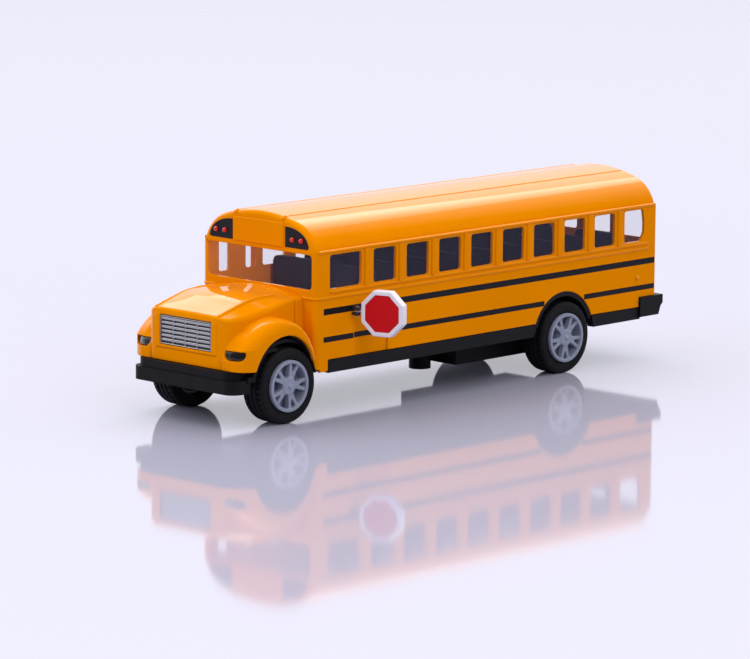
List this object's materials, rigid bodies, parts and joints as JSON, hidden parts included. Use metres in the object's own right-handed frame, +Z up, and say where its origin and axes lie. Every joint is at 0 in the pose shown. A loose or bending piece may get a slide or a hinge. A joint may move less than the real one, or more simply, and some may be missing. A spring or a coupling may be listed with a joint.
{
  "type": "toy school bus",
  "caption": "Yellow toy school bus with a long cast cabin, hooded nose, spinning wheels on two axles, pull-back motor gears and a stop sign that swings out on the left side.",
  "frame": {"origin": "on the ground under the tyres, in the middle plane of the cabin, half-way between the bumpers' outer faces", "axes": "+Y from the front bumper to the rear bumper, +X towards the bus's left side where the stop sign is, +Z up"},
  "size_m": [0.0529, 0.1504, 0.0477],
  "materials": {
    "yellow_paint": "glossy",
    "clear_plastic": "clear",
    "lens_plastic": "clear",
    "black_plastic": "satin",
    "case_plastic": "satin",
    "panel_black": "glossy",
    "plated_plastic": "bright",
    "red_plastic": "glossy",
    "white_plastic": "glossy",
    "rim_plastic": "satin",
    "tyre_rubber": "matte",
    "steel": "bright",
    "spring_steel": "blued",
    "gear_plastic": "satin"
  },
  "bodies": {
    "bus": {"body_shell": "yellow_paint", "window_glazing": "clear_plastic", "seat_moulding": "black_plastic", "chassis_base": "black_plastic", "grille": "plated_plastic", "headlight_left": "lens_plastic", "headlight_right": "lens_plastic", "lamp_panels": "panel_black", "warning_lamps": "red_plastic", "chassis_screws": "steel", "motor_case_left": "case_plastic", "motor_case_right": "case_plastic", "motor_screws": "steel", "mainspring": "spring_steel", "spring_pin": "steel", "transfer_pin": "steel", "stop_bracket": "black_plastic", "stop_hinge_pin": "steel"},
    "front_wheels": {"front_axle": "steel", "front_rim_left": "rim_plastic", "front_rim_right": "rim_plastic", "front_tyre_left": "tyre_rubber", "front_tyre_right": "tyre_rubber"},
    "rear_wheels": {"rear_axle": "steel", "rear_rim_left": "rim_plastic", "rear_rim_right": "rim_plastic", "rear_tyre_left": "tyre_rubber", "rear_tyre_right": "tyre_rubber", "drive_pinion": "gear_plastic"},
    "transfer_gear_set": {"transfer_gear": "gear_plastic"},
    "spring_gear_set": {"spring_gear": "gear_plastic"},
    "stop_sign": {"stop_board": "white_plastic", "stop_face": "red_plastic"}
  },
  "joints": [
    {"name": "front_axle_spin", "type": "hinge", "parent": "bus", "child": "front_wheels", "pos_m": [0, -0.05845, 0.009], "axis": [1, 0, 0], "continuous": true},
    {"name": "rear_axle_spin", "type": "hinge", "parent": "bus", "child": "rear_wheels", "pos_m": [0, 0.03905, 0.009], "axis": [1, 0, 0], "continuous": true},
    {"name": "transfer_gear_spin", "type": "hinge", "parent": "bus", "child": "transfer_gear_set", "pos_m": [0, 0.03188, 0.01119], "axis": [1, 0, 0], "continuous": true},
    {"name": "spring_gear_spin", "type": "hinge", "parent": "bus", "child": "spring_gear_set", "pos_m": [0, 0.02345, 0.01229], "axis": [1, 0, 0], "continuous": true},
    {"name": "stop_sign_swing", "type": "hinge", "parent": "bus", "child": "stop_sign", "pos_m": [0.0204, -0.03745, 0.0245], "axis": [0, 0, 1], "range_deg": [-18, 72]}
  ],
  "couplings": [
    {"joint": "transfer_gear_spin", "follows": "rear_axle_spin", "ratio": -0.5},
    {"joint": "spring_gear_spin", "follows": "rear_axle_spin", "ratio": 0.20833}
  ]
}
